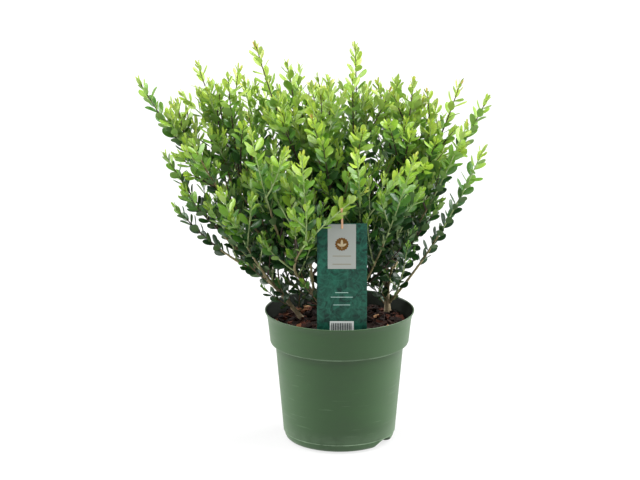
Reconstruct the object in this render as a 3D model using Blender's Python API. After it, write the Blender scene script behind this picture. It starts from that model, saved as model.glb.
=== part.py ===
"""A Japanese holly in its nursery pot: soil, a card label on a loop, four stems, and the
boughs and masses of foliage that the stems carry. Metres, +Z up. The origin is on the pot's
axis, on the flat underside that the pot stands on, and the label faces -Y."""

import math
import random

import bmesh
import bpy
import numpy as np
from mathutils import Matrix, Vector

# Touching pieces keep this gap.
GAP = 0.0003

# The pot, as radii and heights of its outer rings.
POT_HEIGHT = 0.170
RIM_R = 0.095
RIM_FOOT_Z = 0.169
RIM_LIP_R = 0.0935
RIM_LIP_Z = 0.1655
COLLAR_TOP_R = 0.0903
COLLAR_TOP_Z = 0.152
COLLAR_R = 0.0881
COLLAR_FOOT_Z = 0.129
COLLAR_ROUND = 0.0030
BODY_TOP_R = 0.0812
BODY_TOP_Z = 0.125
BODY_FOOT_R = 0.0712
FOOT_STEP_R = 0.0700
FOOT_STEP_Z = 0.0109
FOOT_R = 0.0623
FOOT_ROUND = 0.0022
POT_WALL = 0.0018
POT_FLOOR = 0.0125
POT_SIDES = 32

# The notches that drain the pot, cut into its thick base from the side.
NOTCH_AZIMUTHS = (-33, 147)
NOTCH_WIDTH = 0.038
NOTCH_HEIGHT = 0.0105
NOTCH_DEPTH = 0.020

# The soil, and the bark chips that stand out of it.
SOIL_TOP = 0.152
SOIL_SIDES = 30
CHIP_COUNT = 16
CHIP_LENGTH = 0.016
CHIP_WIDTH = 0.008
CHIP_THICKNESS = 0.0022
CHIP_LEAN = (10, 24)
CHIPS_WITHIN = 0.076
CHIP_OFF_STEM = 0.018
CHIP_OFF_CARD = 0.010
CHIP_STEP_ROUND = 17

# The label card, its hole, and the elastic loop that ties it to a shoot.
LABEL_WIDTH = 0.0618
LABEL_TOP = 0.3024
LABEL_THICKNESS = 0.0008
LABEL_X = 0.0025
LABEL_Y = -0.0780
LABEL_HOLE_R = 0.0030
LABEL_HOLE_DROP = 0.0075
LOOP_WIDTH = 0.0026
LOOP_THICKNESS = 0.0007
LOOP_AT = 0.905
LOOP_BEARING = 0.75

# The stems: name, foot x and y, top x, y and z, foot radius, top radius.
STEMS = (
    ("left", (-0.005, -0.003), (-0.100, -0.005, 0.271), 0.0034, 0.0022),
    ("low_left", (-0.047, 0.014), (-0.112, 0.006, 0.229), 0.0026, 0.0018),
    ("centre", (0.016, 0.026), (0.006, 0.014, 0.262), 0.0035, 0.0024),
    ("right", (0.062, 0.041), (0.058, 0.036, 0.272), 0.0035, 0.0024),
)
STEM_RINGS = (0, 0.04, 0.10, 0.20, 0.35, 0.52, 0.68, 0.84, 1.0)
STEM_SIDES = 8
STEM_ARCH = 0.10
FLARE = 1.7
FLARE_HEIGHT = 0.0075

# The boughs: name, stem, share of the stem at which it forks off, azimuth, reach and height
# of the tip of the leading shoot that it ends in, and how far it bows to its left.
BOUGHS = (
    ("far_left", "left", 1.00, 180, 0.256, 0.470, 0.00),
    ("upper_left", "left", 0.84, 172, 0.183, 0.488, -0.08),
    ("back_left", "left", 0.72, 135, 0.170, 0.445, 0.00),
    ("front_left", "left", 0.58, 220, 0.146, 0.426, 0.00),
    ("low_front", "left", 0.46, 285, 0.094, 0.348, -0.56),
    ("inner_left", "left", 0.28, 248, 0.127, 0.404, 0.00),
    ("low_left", "low_left", 1.00, 173, 0.228, 0.370, 0.00),
    ("lowest_left", "low_left", 0.76, 182, 0.214, 0.308, 0.10),
    ("front_low_left", "low_left", 0.52, 211, 0.176, 0.352, 0.00),
    ("low_back_left", "low_left", 0.30, 140, 0.186, 0.335, 0.00),
    ("tall_centre", "centre", 1.00, 346, 0.021, 0.518, 0.00),
    ("tall_left", "centre", 0.84, 195, 0.112, 0.522, 0.00),
    ("top_left", "centre", 0.70, 140, 0.092, 0.482, 0.00),
    ("top_middle", "centre", 0.56, 238, 0.050, 0.468, 0.00),
    ("back_centre", "centre", 0.46, 96, 0.151, 0.445, 0.00),
    ("front_centre", "centre", 0.34, 281, 0.114, 0.404, 0.06),
    ("low_back", "centre", 0.22, 104, 0.187, 0.350, 0.00),
    ("front_right", "centre", 0.12, 308, 0.150, 0.400, 0.00),
    ("tall_right", "right", 1.00, 354, 0.094, 0.474, 0.00),
    ("upper_right", "right", 0.87, 2, 0.155, 0.468, 0.00),
    ("far_right", "right", 0.74, 10, 0.194, 0.440, 0.00),
    ("back_right", "right", 0.62, 62, 0.161, 0.445, 0.00),
    ("right_front", "right", 0.50, 342, 0.168, 0.425, 0.00),
    ("low_back_right", "right", 0.37, 41, 0.184, 0.350, 0.00),
    ("inner_right", "right", 0.24, 322, 0.100, 0.352, 0.00),
    ("low_right", "right", 0.10, 350, 0.186, 0.392, 0.00),
)
BOUGH_R = 0.0017
BOUGH_SIDES = 6
BOUGH_PIECES = 4
SAG = 0.05
SAG_WHEN_LEVEL = 0.10
SPREAD_WHEN_STEEP = 0.09
LEAVES_FROM = 0.20
LEADER_PIECES = 7
TIP_LEAF = 0.022

SEED = 1

# The side shoots of a mass. They are three-sided, so a little thicker than their real radius.
SHOOT_R = 0.0010
SHOOT_TIP_R = 0.0006
THREE_SIDED = 1.25
SHOOT_SPACING = 0.032
SHOOTS_FROM = 0.03
SHOOTS_TO = 0.80
SHOOT_LONGEST = 0.098
SHOOT_SHORTENS = 0.55
SHOOT_TILT = math.radians(36)
SHOOT_BEND_AT = 0.45
SHOOT_RISE = 0.40
SHOOT_FOLLOWS = 0.15
SHOOT_SHORTEST = 0.42
GOLDEN_ANGLE = math.radians(137.5)
LEANS_OUT = 0.45
SHOOTS_BELOW = -0.8
LEAVES_BELOW = 0.5

# The leaves, fewer and larger than life.
LEAF_LENGTH = 0.031
LEAF_WIDTH = 0.0175
LEAF_THICKNESS = 0.0014
LEAF_WIDEST = 0.54
LEAF_SPACING = 0.0155
LEAF_TILT = math.radians(48)
LEADER_LEAVES_FROM = 0.12
SHOOT_LEAVES_FROM = 0.22
LEAF_TURNS_UP = 0.35
END_LEAF_SIZE = 0.8
END_LEAF_TILT = 0.1
END_LEAF_SUNK = 0.0025
LEAF_FACES = [[0, 2, 4], [2, 1, 4], [1, 3, 4], [3, 0, 4], [0, 3, 1, 2]]

# A mass keeps this far inside its own space, and off everything that isn't its own.
SPACE_MARGIN = 0.0016
SHOOT_CLEARANCE = 0.0030
LEAF_CLEARANCE = 0.0022
CARD_CLEARANCE = 0.0042
POT_CLEARANCE = 0.0040

UP = np.array((0.0, 0.0, 1.0))
STEM_OF = {stem[0]: stem for stem in STEMS}
BOUGH_OF = {bough[0]: bough for bough in BOUGHS}


def clear_scene():
    for thing in list(bpy.data.objects):
        bpy.data.objects.remove(thing, do_unlink=True)


def unit(vector):
    return vector / np.linalg.norm(vector)


def finish(name, colour, roughness):
    """A Principled material with a plain colour."""
    made = bpy.data.materials.new(name)
    made.use_nodes = True
    shader = made.node_tree.nodes["Principled BSDF"]
    shader.inputs["Base Color"].default_value = (*colour, 1)
    shader.inputs["Roughness"].default_value = roughness
    shader.inputs["Metallic"].default_value = 0
    return made


def mesh_object(name, points, faces, material=None):
    """An object of these points and faces, with its faces turned to point outwards."""
    mesh = bpy.data.meshes.new(name)
    mesh.from_pydata([tuple(p) for p in points], [], faces)
    shape = bmesh.new()
    shape.from_mesh(mesh)
    bmesh.ops.recalc_face_normals(shape, faces=shape.faces)
    shape.to_mesh(mesh)
    shape.free()
    if material:
        mesh.materials.append(material)
    made = bpy.data.objects.new(name, mesh)
    bpy.context.scene.collection.objects.link(made)
    return made


def boolean(target, operation, others):
    """Joins or cuts target with the objects in others, applies the result and removes them."""
    group = bpy.data.collections.new("operands")
    bpy.context.scene.collection.children.link(group)
    for other in others:
        group.objects.link(other)
    change = target.modifiers.new(operation, "BOOLEAN")
    change.operation = operation
    change.operand_type = "COLLECTION"
    change.collection = group
    graph = bpy.context.evaluated_depsgraph_get()
    result = bpy.data.meshes.new_from_object(target.evaluated_get(graph))
    target.modifiers.clear()
    result.name = target.name
    target.data = result
    for other in others:
        bpy.data.objects.remove(other, do_unlink=True)
    bpy.data.collections.remove(group)


def keep_one_body(target):
    """Drops loose scraps, and fills sealed hollows by dropping their inner skins."""
    shape = bmesh.new()
    shape.from_mesh(target.data)
    left = set(shape.faces)
    bodies = []
    while left:
        body = {left.pop()}
        edge = list(body)
        while edge:
            face = edge.pop()
            paired = [side for side in face.edges if len(side.link_faces) == 2]
            near = {n for side in paired for n in side.link_faces} & left
            left -= near
            body |= near
            edge += near
        bodies.append(body)
    bodies.sort(key=len)
    for body in bodies[:-1]:
        bmesh.ops.delete(shape, geom=list(body), context="FACES")
    shape.to_mesh(target.data)
    shape.free()


def turned(name, profile, sides, material):
    """A solid of revolution about Z, from a closed outline of (radius, height) points."""
    points, rings = [], []
    for radius, height in profile:
        if radius == 0:
            rings.append([len(points)] * sides)
            points.append((0, 0, height))
            continue
        rings.append([len(points) + k for k in range(sides)])
        for k in range(sides):
            angle = 2 * math.pi * (k + 0.5) / sides
            points.append((radius * math.cos(angle), radius * math.sin(angle), height))
    faces = []
    for low, high in zip(rings, rings[1:]):
        for k in range(sides):
            n = (k + 1) % sides
            corners = [low[k], low[n], high[n], high[k]]
            face = list(dict.fromkeys(corners))
            if len(face) > 2:
                faces.append(face)
    return mesh_object(name, points, faces, material)


def shade_round(made, angle=35):
    made.data.shade_smooth()
    made.data.set_sharp_from_angle(angle=math.radians(angle))


def pot_outline():
    """The wall's outline from the middle of the underside, up the outside and down inside."""
    outside = [
        (FOOT_R, 0.0),
        (FOOT_STEP_R - FOOT_ROUND, 1.5 * FOOT_ROUND),
        (FOOT_STEP_R, FOOT_STEP_Z),
        (BODY_FOOT_R, FOOT_STEP_Z + 0.3 * FOOT_ROUND),
        (BODY_TOP_R, BODY_TOP_Z),
        (COLLAR_R - COLLAR_ROUND, COLLAR_FOOT_Z - 0.7 * COLLAR_ROUND),
        (COLLAR_R - 0.2 * COLLAR_ROUND, COLLAR_FOOT_Z),
        (COLLAR_R, COLLAR_FOOT_Z + COLLAR_ROUND),
        (COLLAR_TOP_R, COLLAR_TOP_Z),
        (RIM_LIP_R, RIM_LIP_Z),
        (RIM_R, RIM_FOOT_Z),
        (RIM_R - GAP, POT_HEIGHT),
    ]
    inside = [
        (RIM_R - POT_WALL, POT_HEIGHT),
        (COLLAR_TOP_R - POT_WALL, COLLAR_TOP_Z),
        (COLLAR_R - POT_WALL, COLLAR_FOOT_Z + COLLAR_ROUND),
        (BODY_TOP_R - POT_WALL, BODY_TOP_Z - GAP),
        (BODY_FOOT_R - POT_WALL, POT_FLOOR),
    ]
    return [(0.0, 0.0), *outside, *inside, (0.0, POT_FLOOR)]


def build_pot(material):
    pot = turned("pot", pot_outline(), POT_SIDES, material)
    cutters = []
    for azimuth in NOTCH_AZIMUTHS:
        bpy.ops.mesh.primitive_cylinder_add(
            vertices=16, radius=NOTCH_WIDTH / 2, depth=2 * NOTCH_DEPTH
        )
        cutter = bpy.context.object
        lay_down = Matrix.Rotation(math.radians(90), 4, "Y")
        flatten = Matrix.Diagonal((1, 1, NOTCH_HEIGHT / (NOTCH_WIDTH / 2), 1))
        outwards = Matrix.Translation((FOOT_STEP_R, 0, 0))
        turn = Matrix.Rotation(math.radians(azimuth), 4, "Z")
        cutter.data.transform(turn @ outwards @ flatten @ lay_down)
        cutters.append(cutter)
    boolean(pot, "DIFFERENCE", cutters)
    shade_round(pot)


def soil_radius(height):
    """The inside of the pot's wall at this height, less the gap. The wall is faceted, so its
    flats are nearer to the axis than its corners."""
    inner = pot_outline()[-6:-1]
    flat_share = math.cos(math.pi / POT_SIDES)
    for (r_high, z_high), (r_low, z_low) in zip(inner, inner[1:]):
        if z_low <= height <= z_high:
            share = (height - z_low) / (z_high - z_low)
            return (r_low + (r_high - r_low) * share - 2 * GAP) * flat_share
    return (inner[-1][0] - 2 * GAP) * flat_share


def build_soil(material):
    """The potting mix, with its chips standing out of the top."""
    floor = POT_FLOOR + GAP
    heights = (floor, BODY_TOP_Z - GAP, COLLAR_FOOT_Z + COLLAR_ROUND, SOIL_TOP)
    sides = [(soil_radius(z), z) for z in heights]
    soil = turned("soil", [(0.0, floor), *sides, (0.0, SOIL_TOP)], SOIL_SIDES, material)
    draw = random.Random(7)
    chips = []
    for k in range(CHIP_COUNT):
        azimuth = GOLDEN_ANGLE * k + draw.uniform(-0.3, 0.3)
        radius = CHIPS_WITHIN * math.sqrt((k + 0.7) / CHIP_COUNT)
        place = Vector((radius * math.cos(azimuth), radius * math.sin(azimuth), SOIL_TOP))
        while not chip_clear(place):
            place = Matrix.Rotation(math.radians(CHIP_STEP_ROUND), 3, "Z") @ place
        spin = Matrix.Rotation(draw.uniform(0, math.pi), 4, "Z")
        lean = Matrix.Rotation(math.radians(draw.uniform(*CHIP_LEAN)), 4, "Y")
        length = CHIP_LENGTH * draw.uniform(0.75, 1.1)
        size = Matrix.Diagonal((length, CHIP_WIDTH, CHIP_THICKNESS, 1))
        bpy.ops.mesh.primitive_cube_add(size=1)
        chip = bpy.context.object
        chip.data.transform(Matrix.Translation(place) @ spin @ lean @ size)
        chips.append(chip)
    boolean(soil, "UNION", chips)
    keep_one_body(soil)


def chip_clear(place):
    """True where a chip lies clear of the stems' feet and the label."""
    feet = [Vector((*stem[1], SOIL_TOP)) for stem in STEMS]
    off_stems = all((place - foot).length > CHIP_OFF_STEM for foot in feet)
    return off_stems and place.y > LABEL_Y + CHIP_OFF_CARD


def build_label(card, elastic):
    height = LABEL_TOP - SOIL_TOP - GAP
    bpy.ops.mesh.primitive_cube_add(size=1)
    label = bpy.context.object
    label.name = label.data.name = "label"
    label.data.transform(
        Matrix.Translation((LABEL_X, LABEL_Y, LABEL_TOP - height / 2))
        @ Matrix.Diagonal((LABEL_WIDTH, LABEL_THICKNESS, height, 1))
    )
    label.data.materials.append(card)
    bpy.ops.mesh.primitive_cylinder_add(
        vertices=16, radius=LABEL_HOLE_R, depth=20 * LABEL_THICKNESS
    )
    hole = bpy.context.object
    hole.data.transform(
        Matrix.Translation((LABEL_X, LABEL_Y, LABEL_TOP - LABEL_HOLE_DROP))
        @ Matrix.Rotation(math.radians(90), 4, "X")
    )
    boolean(label, "DIFFERENCE", [hole])
    build_loop(elastic)


def loop_path():
    """The middle line of the loop: through the card's hole, up past its top edge on both
    sides, and round the shoot that carries it."""
    held = along_run(leader_points("low_front"))(LOOP_AT)
    reach = GAP + LOOP_THICKNESS / 2
    low_r = LABEL_THICKNESS / 2 + reach
    high_r = 1.8 * shoot_radius(LOOP_AT) + reach + GAP
    low_z = LABEL_TOP - LABEL_HOLE_DROP + LABEL_HOLE_R * LOOP_BEARING
    low = np.array((LABEL_X, LABEL_Y, low_z))
    neck = np.array((LABEL_X, LABEL_Y, LABEL_TOP + 2 * GAP))
    lean = unit(held[1:] - neck[1:])
    path = []
    for k in range(7):
        angle = math.pi * (1 + k / 6)
        path.append(low + low_r * np.array((0, math.cos(angle), math.sin(angle))))
    path.append(neck + low_r * np.array((0, 1, 0)))
    start = math.atan2(lean[1], lean[0]) - math.pi / 2
    for k in range(9):
        angle = start + math.pi * k / 8
        path.append(held + high_r * np.array((0, math.cos(angle), math.sin(angle))))
    path.append(neck - low_r * np.array((0, 1, 0)))
    return path


def build_loop(elastic):
    """The flat elastic band, as one closed ring of square sections along its path."""
    path = loop_path()
    count = len(path)
    points, faces = [], []
    for k, middle in enumerate(path):
        along = path[(k + 1) % count] - path[k - 1]
        out = unit(np.array((0, along[2], -along[1])))
        for side, depth in ((-1, -1), (1, -1), (1, 1), (-1, 1)):
            shift = out * depth * LOOP_THICKNESS / 2 + np.array((side * LOOP_WIDTH / 2, 0, 0))
            points.append(middle + shift)
    for k in range(count):
        n = (k + 1) % count
        for c in range(4):
            d = (c + 1) % 4
            faces.append([4 * k + c, 4 * k + d, 4 * n + d, 4 * n + c])
    mesh_object("label_loop", points, faces, elastic)


def stem_point(stem, share):
    """A point on a stem's axis: it rises from its foot in a shallow curve."""
    _, foot, top, _, _ = stem
    low = np.array((*foot, SOIL_TOP + GAP))
    high = np.array(top)
    knee = (low + high) / 2 + UP * STEM_ARCH * np.linalg.norm(high[:2] - low[:2])
    return (1 - share) ** 2 * low + 2 * share * (1 - share) * knee + share**2 * high


def stem_radius(stem, share):
    """The stem tapers evenly, and flares at its foot."""
    _, _, top, foot_r, top_r = stem
    rise = share * (top[2] - SOIL_TOP)
    flare = 1 + (FLARE - 1) * math.exp(-rise / FLARE_HEIGHT)
    return (foot_r + (top_r - foot_r) * share) * flare


def limb_line(name):
    """The curve of a bough and its leading shoot, from the stem's axis at 0 to the tip at 1."""
    _, stem_name, fork, azimuth, reach, height, bow = BOUGH_OF[name]
    start = stem_point(STEM_OF[stem_name], fork)
    angle = math.radians(azimuth)
    tip = np.array((reach * math.cos(angle), reach * math.sin(angle), height))
    tip -= unit(tip - start) * TIP_LEAF
    chord = tip - start
    length = np.linalg.norm(chord)
    level = math.hypot(chord[0], chord[1]) / length
    outwards = np.array((chord[0], chord[1], 0.0)) / (length * level)
    left = np.array((-outwards[1], outwards[0], 0.0))
    sag = SAG + SAG_WHEN_LEVEL * level**3
    spread = SPREAD_WHEN_STEEP * (1 - level)
    bend = (start + tip) / 2 + length * (outwards * spread + left * bow - UP * sag)

    def at(share):
        return (1 - share) ** 2 * start + 2 * share * (1 - share) * bend + share**2 * tip

    return at


def shoot_radius(share):
    """The radius along a bough and its leading shoot."""
    return BOUGH_R + (SHOOT_TIP_R - BOUGH_R) * share


def side_frame(along):
    """Two unit vectors across a direction, the second as near to up as can be."""
    aside = np.cross(along, UP)
    if np.linalg.norm(aside) < 0.05:
        aside = np.array((1.0, 0.0, 0.0))
    aside = unit(aside)
    return aside, np.cross(aside, along)


def tube(name, middles, radii, sides, material=None):
    """A limb through these points, with flat ends and no twist."""
    points, faces = [], []
    aside, over = side_frame(unit(middles[1] - middles[0]))
    for k, middle in enumerate(middles):
        before, after = middles[max(k - 1, 0)], middles[min(k + 1, len(middles) - 1)]
        along = unit(after - before)
        aside = unit(aside - along * (aside @ along))
        over = np.cross(aside, along)
        for c in range(sides):
            angle = 2 * math.pi * c / sides
            points.append(middle + radii[k] * (aside * math.cos(angle) + over * math.sin(angle)))
    for k in range(len(middles) - 1):
        for c in range(sides):
            d = (c + 1) % sides
            faces.append([sides * k + c, sides * k + d, sides * k + sides + d, sides * k + sides + c])
    faces.append(list(range(sides))[::-1])
    faces.append([sides * (len(middles) - 1) + c for c in range(sides)])
    return mesh_object(name, points, faces, material)


def stem_tube(name, stem, grow, material=None):
    """A stem, or with grow the slightly larger copy of it that the boughs are cut to fit."""
    middles = [stem_point(stem, share) for share in STEM_RINGS]
    radii = [stem_radius(stem, share) + grow for share in STEM_RINGS]
    middles[-1] = middles[-1] + unit(middles[-1] - middles[-2]) * grow
    made = tube(name, middles, radii, STEM_SIDES, material)
    for vertex in list(made.data.vertices)[:STEM_SIDES]:
        vertex.co.z = SOIL_TOP + GAP
    return made


def build_stems(bark):
    for stem in STEMS:
        made = stem_tube("stem_" + stem[0], stem, 0, bark)
        shade_round(made, 60)


def build_bough(name, bark):
    """A bare limb from the stem's surface to where its mass of foliage begins."""
    stem = STEM_OF[BOUGH_OF[name][1]]
    line = limb_line(name)
    shares = [LEAVES_FROM * k / BOUGH_PIECES for k in range(BOUGH_PIECES + 1)]
    middles = [line(share) for share in shares]
    radii = [shoot_radius(share) for share in shares]
    made = tube("bough_" + name, middles, radii, BOUGH_SIDES, bark)
    boolean(made, "DIFFERENCE", [stem_tube("cutter", stem, GAP)])
    keep_one_body(made)
    shade_round(made, 60)


def turned_up(along, angle, below):
    """A direction across a shoot at this angle round it. On a shoot that leans out, the
    downward part of that direction is multiplied by below."""
    aside, over = side_frame(along)
    lift = math.sin(angle)
    if lift < 0 and over @ UP > LEANS_OUT:
        lift *= below
    return aside * math.cos(angle) + over * lift


def along_run(middles):
    """The place at each share, from 0 to 1, of a run of evenly spaced points."""
    middles = np.array(middles)
    marks = np.linspace(0, 1, len(middles))

    def at(share):
        return np.array([np.interp(share, marks, middles[:, axis]) for axis in range(3)])

    return at


def leader_points(name):
    """The leading shoot of a mass, from the end of its bough, less the gap, to its tip."""
    line = limb_line(name)
    first = LEAVES_FROM + 1.5 * GAP / np.linalg.norm(line(1) - line(0))
    return [line(first + (1 - first) * k / LEADER_PIECES) for k in range(LEADER_PIECES + 1)]


def leader_samples(name):
    leader = along_run(leader_points(name))
    return np.array([leader(k / 30) for k in range(31)])


def in_own_space(name, places):
    """True for each place that is nearer to this mass's leading shoot than to any other."""
    near = {}
    for other, samples in LEADERS.items():
        near[other] = np.linalg.norm(places[:, None] - samples, axis=2).min(axis=1)
    own = near.pop(name)
    return own + SPACE_MARGIN < np.min(list(near.values()), axis=0)


def clear_of_limbs(places, room):
    """True for each place that is clear of the pot, label, loop, stems and boughs."""
    free = places[:, 2] > POT_HEIGHT + POT_CLEARANCE
    for samples, radius in LIMBS:
        apart = np.linalg.norm(places[:, None] - samples, axis=2).min(axis=1)
        free &= apart > radius + room
    in_front = np.abs(places[:, 1] - LABEL_Y) < CARD_CLEARANCE
    beside = np.abs(places[:, 0] - LABEL_X) < LABEL_WIDTH / 2 + CARD_CLEARANCE
    level = places[:, 2] < LABEL_TOP + CARD_CLEARANCE
    return free & ~(in_front & beside & level)


def side_shoots(name):
    """The side shoots of a mass, each as the three points of its run.

    They leave the leading shoot by the golden angle, and each turns up towards the light."""
    leader = along_run(leader_points(name))
    index = list(BOUGH_OF).index(name)
    run = np.linalg.norm(leader(1) - leader(0))
    count = max(3, round(run * SHOOTS_TO / SHOOT_SPACING))
    shoots = []
    for k in range(count):
        draw = random.Random(SEED + 1000 * index + k)
        share = SHOOTS_FROM + (SHOOTS_TO - SHOOTS_FROM) * (k + draw.uniform(0, 0.6)) / count
        start = leader(share)
        along = unit(leader(share + 0.02) - leader(share - 0.02))
        angle = GOLDEN_ANGLE * k + index + draw.uniform(-0.4, 0.4)
        out = turned_up(along, angle, SHOOTS_BELOW)
        tilt = SHOOT_TILT * draw.uniform(0.8, 1.25)
        heading = unit(along * math.cos(tilt) + out * math.sin(tilt))
        length = SHOOT_LONGEST * (1 - SHOOT_SHORTENS * share) * draw.uniform(0.75, 1.15)
        bend = start + heading * length * SHOOT_BEND_AT
        rising = unit(heading + UP * SHOOT_RISE + along * SHOOT_FOLLOWS)
        shoots.append((start, bend, bend + rising * length * (1 - SHOOT_BEND_AT)))
    return shoots


def kept_run(name, shoot):
    """The part of a side shoot that stays in its mass's space, or None if that is too short."""
    curve = along_run(shoot)
    tests = np.linspace(0.2, 1, 17)
    places = np.array([curve(share) for share in tests])
    good = in_own_space(name, places) & clear_of_limbs(places, SHOOT_CLEARANCE)
    reach = 1.0 if good.all() else tests[max(int(np.argmin(good)) - 1, 0)]
    if reach < SHOOT_SHORTEST:
        return None
    return [curve(reach * share) for share in (0, 0.5, 1)]


def leaf_points(root, along, out, length, width, thickness):
    """The five corners of a leaf: root, tip, two sides, and the crest of its upper face."""
    across = unit(np.cross(along, out))
    wide = root + along * length * LEAF_WIDEST
    return np.array(
        (
            root,
            root + along * length,
            wide + across * width / 2,
            wide - across * width / 2,
            wide + out * thickness,
        )
    )


def leaves_along(curve, first, length, seed):
    """The leaves of one shoot: they stand off it by the golden angle, turned to the light."""
    draw = random.Random(SEED + seed)
    count = max(2, round(length * (1 - first) / LEAF_SPACING))
    leaves = []
    for k in range(count + 1):
        share = min(first + (1 - first) * (k + 0.5) / count, 1.0)
        along = unit(curve(min(share + 0.02, 1)) - curve(min(share, 0.98) - 0.02))
        side = turned_up(along, GOLDEN_ANGLE * k + seed, LEAVES_BELOW)
        at_end = k == count
        tilt = LEAF_TILT * draw.uniform(0.8, 1.2) * (END_LEAF_TILT if at_end else 1)
        heading = unit(along * math.cos(tilt) + side * math.sin(tilt))
        facing = along * math.sin(tilt) - side * math.cos(tilt) + UP * LEAF_TURNS_UP
        facing = unit(facing - heading * (facing @ heading))
        size = draw.uniform(0.85, 1.1) * (END_LEAF_SIZE if k >= count - 1 else 1)
        root = curve(share) - along * (END_LEAF_SUNK if at_end else 0)
        length, width = LEAF_LENGTH * size, LEAF_WIDTH * size
        leaves.append(leaf_points(root, heading, facing, length, width, LEAF_THICKNESS))
    return leaves


def leaf_fits(name, corners):
    """True if a leaf stays in its mass's space and off everything else."""
    root, tip, left, right = corners[:4]
    middle = (left + right) / 2
    spread = [root + (tip - root) * share for share in (0.15, 0.3, 0.45, 0.6, 0.75, 0.9, 1.0)]
    for side in (left, right):
        spread += [root + (side - root) * 0.6, side, (side + middle) / 2, (side + tip) / 2]
    spread = np.array(spread)
    return in_own_space(name, spread).all() and clear_of_limbs(spread, LEAF_CLEARANCE).all()


def build_mass(name, green):
    """One mass: its leading shoot, side shoots and leaves, fused into one solid."""
    index = list(BOUGH_OF).index(name)
    middles = leader_points(name)
    marks = np.linspace(LEAVES_FROM, 1, len(middles))
    radii = [shoot_radius(share) * THREE_SIDED for share in marks]
    mass = tube("mass_" + name, middles, radii, 3, green)
    length = np.linalg.norm(middles[-1] - middles[0])
    leaves = leaves_along(along_run(middles), LEADER_LEAVES_FROM, length, 5000 + index)
    parts = []
    for k, shoot in enumerate(side_shoots(name)):
        run = kept_run(name, shoot)
        if run is None:
            continue
        radii = [r * THREE_SIDED for r in (SHOOT_R, (SHOOT_R + SHOOT_TIP_R) / 2, SHOOT_TIP_R)]
        parts.append(tube("shoot", run, radii, 3))
        length = np.linalg.norm(run[2] - run[0])
        leaves += leaves_along(along_run(run), SHOOT_LEAVES_FROM, length, 100 * index + k)
    for corners in leaves:
        if leaf_fits(name, corners):
            parts.append(mesh_object("leaf", corners, LEAF_FACES))
    boolean(mass, "UNION", parts)
    keep_one_body(mass)


def sampled_limbs():
    """Points along the stems, boughs and loop, each run with its radius."""
    runs = []
    for stem in STEMS:
        runs.append((np.array([stem_point(stem, k / 40) for k in range(41)]), stem[3]))
    for name in BOUGH_OF:
        line = limb_line(name)
        places = [line(LEAVES_FROM * k / 30) for k in range(31)]
        runs.append((np.array(places), BOUGH_R))
    runs.append((np.array(loop_path()), 2 * LOOP_WIDTH))
    return runs


def main():
    clear_scene()
    build_pot(finish("pot_plastic", (0.09, 0.20, 0.10), 0.45))
    build_soil(finish("bark_soil", (0.045, 0.022, 0.014), 0.95))
    build_label(finish("card", (0.02, 0.12, 0.11), 0.5), finish("elastic", (0.70, 0.42, 0.28), 0.7))
    bark = finish("bark", (0.20, 0.14, 0.08), 0.8)
    green = finish("foliage", (0.12, 0.30, 0.05), 0.45)
    build_stems(bark)
    for name in BOUGH_OF:
        build_bough(name, bark)
    for name in BOUGH_OF:
        build_mass(name, green)


LEADERS = {name: leader_samples(name) for name in BOUGH_OF}
LIMBS = sampled_limbs()
main()
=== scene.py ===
"""A Japanese holly in its green nursery pot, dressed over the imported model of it."""

import math
import random
from functools import partial

import bpy
import numpy as np
from mathutils import Matrix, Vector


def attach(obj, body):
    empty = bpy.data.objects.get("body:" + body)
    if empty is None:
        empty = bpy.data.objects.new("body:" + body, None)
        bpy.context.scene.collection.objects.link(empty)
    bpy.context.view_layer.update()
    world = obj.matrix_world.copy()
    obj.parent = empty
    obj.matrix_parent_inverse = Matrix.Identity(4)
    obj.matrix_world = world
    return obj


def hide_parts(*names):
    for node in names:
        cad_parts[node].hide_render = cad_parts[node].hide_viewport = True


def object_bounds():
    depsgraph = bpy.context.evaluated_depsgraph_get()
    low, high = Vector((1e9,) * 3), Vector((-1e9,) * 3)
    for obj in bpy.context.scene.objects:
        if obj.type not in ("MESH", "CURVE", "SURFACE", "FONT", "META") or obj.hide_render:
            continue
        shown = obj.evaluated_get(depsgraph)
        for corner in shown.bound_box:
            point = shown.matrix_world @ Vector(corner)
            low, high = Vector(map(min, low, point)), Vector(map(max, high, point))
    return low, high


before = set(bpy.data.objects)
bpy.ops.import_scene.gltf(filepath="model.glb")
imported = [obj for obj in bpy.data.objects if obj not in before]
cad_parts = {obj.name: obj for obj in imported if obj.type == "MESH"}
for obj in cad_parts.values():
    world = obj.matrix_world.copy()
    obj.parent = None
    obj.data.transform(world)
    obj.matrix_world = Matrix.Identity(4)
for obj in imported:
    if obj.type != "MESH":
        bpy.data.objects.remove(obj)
cad_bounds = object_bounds()


# Stage. A pale studio floor without an end, a tall soft light on either side, one overhead,
# and a dim room. The camera stands 3.5 m off on a long lens and looks 15 degrees down.
CAMERA_PLACE = (-0.0247, -3.5, 1.195)
CAMERA_DOWN = 14.95
CAMERA_LENS = 161.9
CAMERA_SENSOR = 36.0
CAMERA_SEES_TO = 100.0
FLOOR_RADIUS = 30.0
FLOOR_DROP = 0.0002
FLOOR_GLOW = 0.74
# Each light's turn round the plant, its lean from straight overhead, and its strength.
LIGHTS = ((-96, 58, 5.6), (98, 58, 7.0), (0, 20, 3.0))
LIGHT_SPREAD = 60
ROOM_LIGHT = 0.34
WHITE = (1, 1, 1, 1)


def linear(hex_colour):
    """An sRGB hex colour as linear red, green, blue and alpha."""
    parts = [int(hex_colour[k : k + 2], 16) / 255 for k in (1, 3, 5)]
    return (*[c / 12.92 if c <= 0.04045 else ((c + 0.055) / 1.055) ** 2.4 for c in parts], 1.0)


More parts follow.
